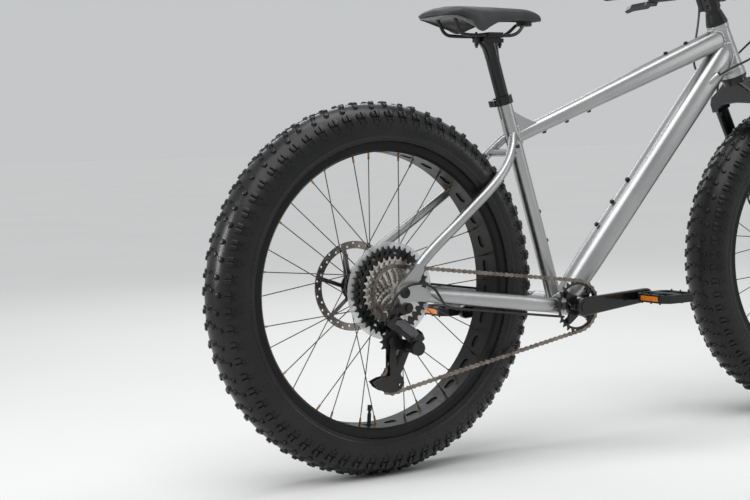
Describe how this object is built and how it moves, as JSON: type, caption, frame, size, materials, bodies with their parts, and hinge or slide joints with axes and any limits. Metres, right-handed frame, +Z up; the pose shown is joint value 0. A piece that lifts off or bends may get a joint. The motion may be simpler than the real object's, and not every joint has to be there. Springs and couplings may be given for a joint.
{
  "type": "fat tire bike",
  "caption": "Fat tire hardtail bicycle with rigid fork, wide knobbly tyres, single-ring derailleur drivetrain and disc brakes.",
  "frame": {"origin": "on the ground, midway between the two wheel axles, in the bike's middle plane", "axes": "+X forwards, +Y to the rider's left, +Z up"},
  "size_m": [1.93, 0.7632, 1.0145],
  "materials": {
    "satin_aluminium": "satin clear-coated",
    "black_alloy": "black anodised",
    "gloss_black": "gloss black paint",
    "silver_steel": "plain steel",
    "black_steel": "black oxide",
    "tyre_rubber": "matte rubber",
    "soft_rubber": "matte rubber",
    "black_plastic": "matte moulded",
    "hose_plastic": "smooth sheath",
    "saddle_cover": "smooth synthetic cover",
    "clear_plastic": "translucent white"
  },
  "bodies": {
    "frame": {"head_tube": "satin_aluminium", "top_tube": "satin_aluminium", "down_tube": "satin_aluminium", "seat_tube": "satin_aluminium", "bottom_bracket_shell": "satin_aluminium", "rear_stays": "satin_aluminium", "dropouts": "satin_aluminium", "bottle_bolts": "black_steel", "seat_collar": "black_alloy", "bearing_cups": "black_alloy", "rear_axle": "black_steel", "rear_caliper": "black_alloy", "rear_brake_hose": "hose_plastic", "shift_housing": "hose_plastic", "chain": "silver_steel"},
    "saddle": {"seat_post": "black_alloy", "saddle_clamp": "black_alloy", "saddle_rails": "black_steel", "saddle_shell": "black_plastic", "saddle_cushion": "saddle_cover"},
    "steering": {"fork": "gloss_black", "headset_spacers": "black_alloy", "stem": "black_alloy", "handlebar": "black_alloy", "grips": "soft_rubber", "control_bodies": "black_alloy", "front_brake_hose": "hose_plastic", "front_caliper": "black_alloy", "front_axle": "black_steel"},
    "brake_lever_left": {"brake_lever_left": "black_alloy"},
    "brake_lever_right": {"brake_lever_right": "black_alloy"},
    "shift_lever": {"shift_lever": "black_plastic"},
    "release_lever": {"release_lever": "black_plastic"},
    "front_wheel": {"front_tyre": "tyre_rubber", "front_inner_tube": "soft_rubber", "front_rim": "black_alloy", "front_spokes": "black_steel", "front_hub": "black_alloy", "front_rotor": "silver_steel"},
    "rear_wheel": {"rear_tyre": "tyre_rubber", "rear_inner_tube": "soft_rubber", "rear_rim": "black_alloy", "rear_spokes": "black_steel", "rear_hub": "black_alloy", "rear_rotor": "silver_steel", "spoke_protector": "clear_plastic"},
    "cassette": {"cassette": "silver_steel"},
    "crank": {"crank_arm_right": "black_alloy", "crank_arm_left": "black_alloy", "chainring": "black_alloy", "pedal_axles": "black_steel"},
    "pedal_right": {"pedal_right": "black_alloy"},
    "pedal_left": {"pedal_left": "black_alloy"},
    "derailleur_base": {"derailleur_base": "black_alloy"},
    "derailleur_outer_link": {"derailleur_outer_link": "black_steel"},
    "derailleur_inner_link": {"derailleur_inner_link": "black_steel"},
    "derailleur_knuckle": {"derailleur_knuckle": "black_alloy"},
    "derailleur_cage": {"derailleur_cage": "black_alloy"},
    "guide_pulley": {"guide_pulley": "black_plastic"},
    "tension_pulley": {"tension_pulley": "black_plastic"}
  },
  "joints": [
    {"name": "steer", "type": "hinge", "parent": "frame", "child": "steering", "pos_m": [0.34923, 0, 0.82525], "axis": [-0.3907, 0, 0.9205], "range_deg": [-70, 70], "deforming": ["rear_brake_hose", "shift_housing"]},
    {"name": "front_wheel_spin", "type": "hinge", "parent": "steering", "child": "front_wheel", "pos_m": [0.6, 0, 0.365], "axis": [0, 1, 0], "continuous": true},
    {"name": "rear_wheel_spin", "type": "hinge", "parent": "frame", "child": "rear_wheel", "pos_m": [-0.6, 0, 0.365], "axis": [0, 1, 0], "continuous": true},
    {"name": "crank_spin", "type": "hinge", "parent": "frame", "child": "crank", "pos_m": [-0.15457, 0, 0.301], "axis": [0, 1, 0], "continuous": true, "deforming": ["chain"]},
    {"name": "cassette_spin", "type": "hinge", "parent": "frame", "child": "cassette", "pos_m": [-0.6, 0, 0.365], "axis": [0, 1, 0], "continuous": true},
    {"name": "pedal_right_spin", "type": "hinge", "parent": "crank", "child": "pedal_right", "pos_m": [0.01501, 0, 0.31286], "axis": [0, 1, 0], "continuous": true},
    {"name": "pedal_left_spin", "type": "hinge", "parent": "crank", "child": "pedal_left", "pos_m": [-0.32416, 0, 0.28914], "axis": [0, 1, 0], "continuous": true},
    {"name": "derailleur_pivot", "type": "hinge", "parent": "frame", "child": "derailleur_base", "pos_m": [-0.596, -0.11, 0.336], "axis": [0, -1, 0], "range_deg": [0, 15], "stiffness_Nm_per_rad": 4, "springref_deg": -17.19},
    {"name": "derailleur_swing", "type": "hinge", "parent": "derailleur_base", "child": "derailleur_outer_link", "pos_m": [-0.62044, -0.11171, 0.31675], "axis": [0.318, 0.848, 0.424], "range_deg": [-43, 33]},
    {"name": "derailleur_inner_swing", "type": "hinge", "parent": "derailleur_base", "child": "derailleur_inner_link", "pos_m": [-0.62756, -0.10429, 0.30725], "axis": [0.318, 0.848, 0.424], "range_deg": [-43, 33]},
    {"name": "derailleur_knuckle_level", "type": "hinge", "parent": "derailleur_outer_link", "child": "derailleur_knuckle", "pos_m": [-0.57724, -0.11171, 0.28435], "axis": [0.318, 0.848, 0.424], "range_deg": [-33, 43]},
    {"name": "derailleur_cage_pivot", "type": "hinge", "parent": "derailleur_knuckle", "child": "derailleur_cage", "pos_m": [-0.578, -0.095, 0.258], "axis": [0, -1, 0], "range_deg": [0, 50], "stiffness_Nm_per_rad": 0.6, "springref_deg": -34.38},
    {"name": "guide_pulley_spin", "type": "hinge", "parent": "derailleur_cage", "child": "guide_pulley", "pos_m": [-0.612, -0.071, 0.27], "axis": [0, 1, 0], "continuous": true},
    {"name": "tension_pulley_spin", "type": "hinge", "parent": "derailleur_cage", "child": "tension_pulley", "pos_m": [-0.6131, -0.071, 0.19201], "axis": [0, 1, 0], "continuous": true},
    {"name": "brake_lever_left_pull", "type": "hinge", "parent": "steering", "child": "brake_lever_left", "pos_m": [0.36864, 0.26763, 0.97035], "axis": [0.5673, 0.0848, 0.8192], "range_deg": [0, 16], "stiffness_Nm_per_rad": 1.5, "springref_deg": -11.46},
    {"name": "brake_lever_right_pull", "type": "hinge", "parent": "steering", "child": "brake_lever_right", "pos_m": [0.36864, -0.26763, 0.97035], "axis": [-0.5673, 0.0848, -0.8192], "range_deg": [0, 16], "stiffness_Nm_per_rad": 1.5, "springref_deg": -11.46},
    {"name": "shift_lever_push", "type": "hinge", "parent": "steering", "child": "shift_lever", "pos_m": [0.32974, -0.20318, 0.95758], "axis": [0.5673, -0.0848, 0.8192], "range_deg": [0, 28], "stiffness_Nm_per_rad": 0.5, "springref_deg": -11.46},
    {"name": "release_lever_push", "type": "hinge", "parent": "steering", "child": "release_lever", "pos_m": [0.32974, -0.20318, 0.95758], "axis": [0.5673, -0.0848, 0.8192], "range_deg": [0, 14], "stiffness_Nm_per_rad": 0.5, "springref_deg": -11.46},
    {"name": "seat_height", "type": "slide", "parent": "frame", "child": "saddle", "axis": [-0.2857, 0, 0.9583], "range_m": [-0.06, 0.06]}
  ],
  "couplings": [
    {"joint": "cassette_spin", "follows": "crank_spin", "ratio": 1.0833},
    {"joint": "guide_pulley_spin", "follows": "crank_spin", "ratio": -2.3636},
    {"joint": "tension_pulley_spin", "follows": "crank_spin", "ratio": 2.3636},
    {"joint": "derailleur_inner_swing", "follows": "derailleur_swing", "ratio": 1},
    {"joint": "derailleur_knuckle_level", "follows": "derailleur_swing", "ratio": -1}
  ]
}
